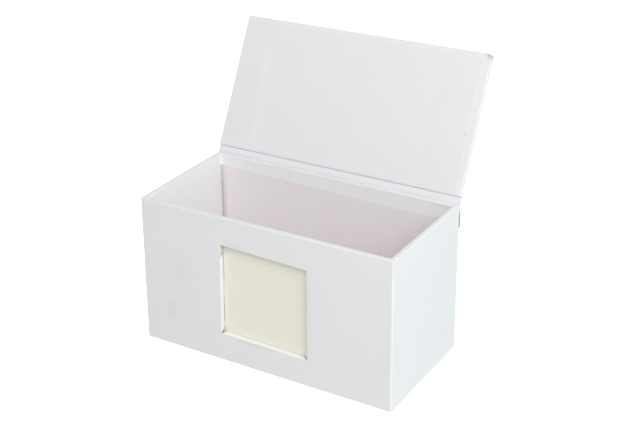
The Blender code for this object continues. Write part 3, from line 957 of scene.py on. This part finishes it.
HINGE_FLAP = 0.018
FLAP_FACE = half_y + 0.00042
STRIP_CREASES = 4
flap_x = (-half_x, half_x + 0.0004)
strip_x = (-half_x + LID_ASKEW * 0.5, half_x + 0.0002)


def lid_point(up, out):
    """A place on the lid's section, as y and z at rest."""
    place = lid_stand @ Vector((0, up, out))
    return place.y, place.z


def folded_strip(path, roundings, ends):
    """A strip across the box whose section follows a path of (y, z), rounded at its bends."""
    bm = bmesh.new()
    chain = bmesh.ops.create_vert(bm, co=(ends[0], *path[0]))["vert"]
    for place in path[1:]:
        chain += bmesh.ops.extrude_vert_indiv(bm, verts=[chain[-1]])["verts"]
        chain[-1].co = (ends[0], *place)
    for vert, rounding in zip(chain, roundings):
        if rounding:
            round_edges(bm, [vert], rounding, 4, "VERTICES")
    verts, _ = extrude_edges(bm, bm.edges[:])
    bmesh.ops.translate(bm, vec=(ends[1] - ends[0], 0, 0), verts=list(verts))
    cut_across(bm, steps(ends[0], ends[1], 0.004), (1, 0, 0))
    bmesh.ops.recalc_face_normals(bm, faces=bm.faces)
    return bm


lid_edge = lid_point(0.0, -LID_THICKNESS)
flap_bend = (FLAP_FACE, rim_top + 0.0002)
flap_path = (
    (FLAP_FACE, rim_top - HINGE_FLAP),
    (FLAP_FACE, rim_top - 0.008),
    flap_bend,
    (hinge_axis.y + 0.00045, hinge_axis.z - 0.00035),
    lid_edge,
)
bm = folded_strip(flap_path, (0, 0, 0.0006, 0.0009, 0), flap_x)
cut_across(bm, steps(rim_top - HINGE_FLAP, rim_top, 0.003), (0, 0, 1))
for vert in bm.verts:
    if vert.co.z < rim_top:
        below = (rim_top - vert.co.z) / HINGE_FLAP
        loose_end = max(0.0, (vert.co.x - (half_x - 0.012)) / 0.012)
        vert.co.y += 0.00012 * loose_end * loose_end * min(1.0, below * 2)
        vert.co.y += ripple(vert.co, 0.015, 0.00006, 31.0) * below
        vert.co.z += ripple(vert.co, 0.030, 0.0004, 33.0) * below * below
    elif vert.co.z < lid_edge[1] - 0.0002:
        vert.co.y += ripple(vert.co, 0.010, 0.00010, 35.0)
        vert.co.z -= ripple(vert.co, 0.010, 0.00010, 35.0)
    # Its end was trimmed back on a slant where it goes over to the lid
    slant = share_between(vert.co.z, rim_top - 0.004, rim_top)
    vert.co.x -= 0.0022 * slant * share_between(vert.co.x, half_x - 0.005, half_x)
face_towards(bm, 1, 1)
hinge_paper = new_finish("hinge_paper", (0.822, 0.822, 0.850), (0.802, 0.800, 0.826), 0.008, 0.0005, 0.00004, 0.56)
# Painted shade on the glued side where its end stands off the corner, for the shade in the gap behind it
flap_end_shade = (half_x + 0.0002, FLAP_FACE - 0.0001, rim_top - 0.0115)
add_mark(hinge_paper, flap_end_shade, (0.0022, 0.00018, 0.0085), (0.34, 0.33, 0.32), 0.9, 0.2)
hinge_flap = thicken(write_mesh("hinge_flap_paper", bm, hinge_paper), COVER_PAPER)
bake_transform(hinge_flap)
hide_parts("hinge_flap")

strip_foot = (half_y + 0.00035, rim_top - 0.0015)
strip_bend = (half_y + 0.00035, rim_top + 0.0001)
strip_end = lid_point(0.0002, -0.00085)
strip_hold = lid_point(0.0045, -0.00080)
strip_path = [strip_foot, strip_bend]
for crease in range(1, STRIP_CREASES * 2):
    share = crease / (STRIP_CREASES * 2)
    # Sharper near the rim, and sagging between the two folds
    side = (0.00005 if crease % 2 else -0.00003) * (1.5 if crease < 4 else 0.8)
    sag = 0.0004 * math.sin(math.pi * share)
    y = strip_bend[0] + (strip_end[0] - strip_bend[0]) * share + side - sag
    z = strip_bend[1] + (strip_end[1] - strip_bend[1]) * share - side * 0.4
    strip_path.append((y, z))
strip_path += [strip_end, strip_hold]
bm = folded_strip(strip_path, [0] * len(strip_path), strip_x)
for vert in bm.verts:
    if vert.co.z > rim_top:
        vert.co.y += ripple(vert.co, 0.012, 0.00012, 41.0)
face_towards(bm, 1, -1)
# Painted shade where the strip goes under the lid's lining, and fainter painted shade in the crease along the rim
add_mark(hinge_paper, (0, *strip_end), (0.25, 0.0013, 0.0013), (0.56, 0.55, 0.57), 0.6, 0.2)
add_mark(hinge_paper, (0, *strip_bend), (0.25, 0.0010, 0.0010), (0.70, 0.70, 0.72), 0.18, 0.2)
hinge_strip = thicken(write_mesh("hinge_strip_paper", bm, hinge_paper), COVER_PAPER)
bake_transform(hinge_strip)

# STUDIO
# A pale floor that runs off into white, an even white surround, a large soft light high in front to the right, and
# a cooler one low at the right end.

FLOOR_GLOW = 0.38
FLOOR_GLOW_SEEN = 1.2
SURROUND_STRENGTH = 0.47
TARGET = (0, 0, 0.08)
bm = bmesh.new()
bmesh.ops.create_grid(bm, x_segments=1, y_segments=1, size=4)
bmesh.ops.translate(bm, vec=(0, 0, cad_low.z), verts=bm.verts)
studio_white = bpy.data.materials.new("studio_white")
studio_white.use_nodes = True
floor_shader = studio_white.node_tree.nodes["Principled BSDF"]
floor_shader.inputs["Base Color"].default_value = (0.25, 0.25, 0.25, 1)
floor_shader.inputs["Roughness"].default_value = 0.9
floor_shader.inputs["Specular IOR Level"].default_value = 0.0
floor_shader.inputs["Emission Color"].default_value = (1, 1, 1, 1)
seen_straight = add_node(studio_white.node_tree, "LightPath", {}).outputs["Is Camera Ray"]
glow = ease(studio_white.node_tree, seen_straight, 0.0, 1.0, FLOOR_GLOW, FLOOR_GLOW_SEEN)
feed(studio_white.node_tree, floor_shader.inputs["Emission Strength"], glow)
floor = write_mesh("studio_floor", bm, studio_white)

surround = bpy.data.worlds.new("surround")
surround.use_nodes = True
surround.node_tree.nodes["Background"].inputs["Color"].default_value = (1, 1, 1, 1)
surround.node_tree.nodes["Background"].inputs["Strength"].default_value = SURROUND_STRENGTH
bpy.context.scene.world = surround


def soft_light(name, place, size, power, colour):
    light = bpy.data.lights.new(name, "AREA")
    light.size = size
    light.energy = power
    light.color = colour
    holder = bpy.data.objects.new(name, light)
    holder.location = place
    holder.rotation_euler = (Vector(TARGET) - Vector(place)).to_track_quat("-Z", "Y").to_euler()
    bpy.context.scene.collection.objects.link(holder)


soft_light("front_softbox", (0.88, -0.98, 1.32), 1.2, 21.0, (1.0, 1.0, 1.0))
soft_light("right_softbox", (1.6, -0.12, 0.40), 1.0, 6.9, (0.78, 0.97, 1.0))

camera = bpy.data.cameras.new("camera")
camera.lens = 75.59
camera.sensor_width = 36
camera.shift_x = 0.110
camera.shift_y = -0.090
camera.dof.use_dof = False
camera_holder = bpy.data.objects.new("camera", camera)
camera_holder.location = (0.4417, -0.7330, 0.5004)
camera_holder.rotation_euler = [math.radians(angle) for angle in (67.553, 1.370, 32.728)]
bpy.context.scene.collection.objects.link(camera_holder)
bpy.context.scene.camera = camera_holder
bpy.context.scene.view_settings.view_transform = "Standard"
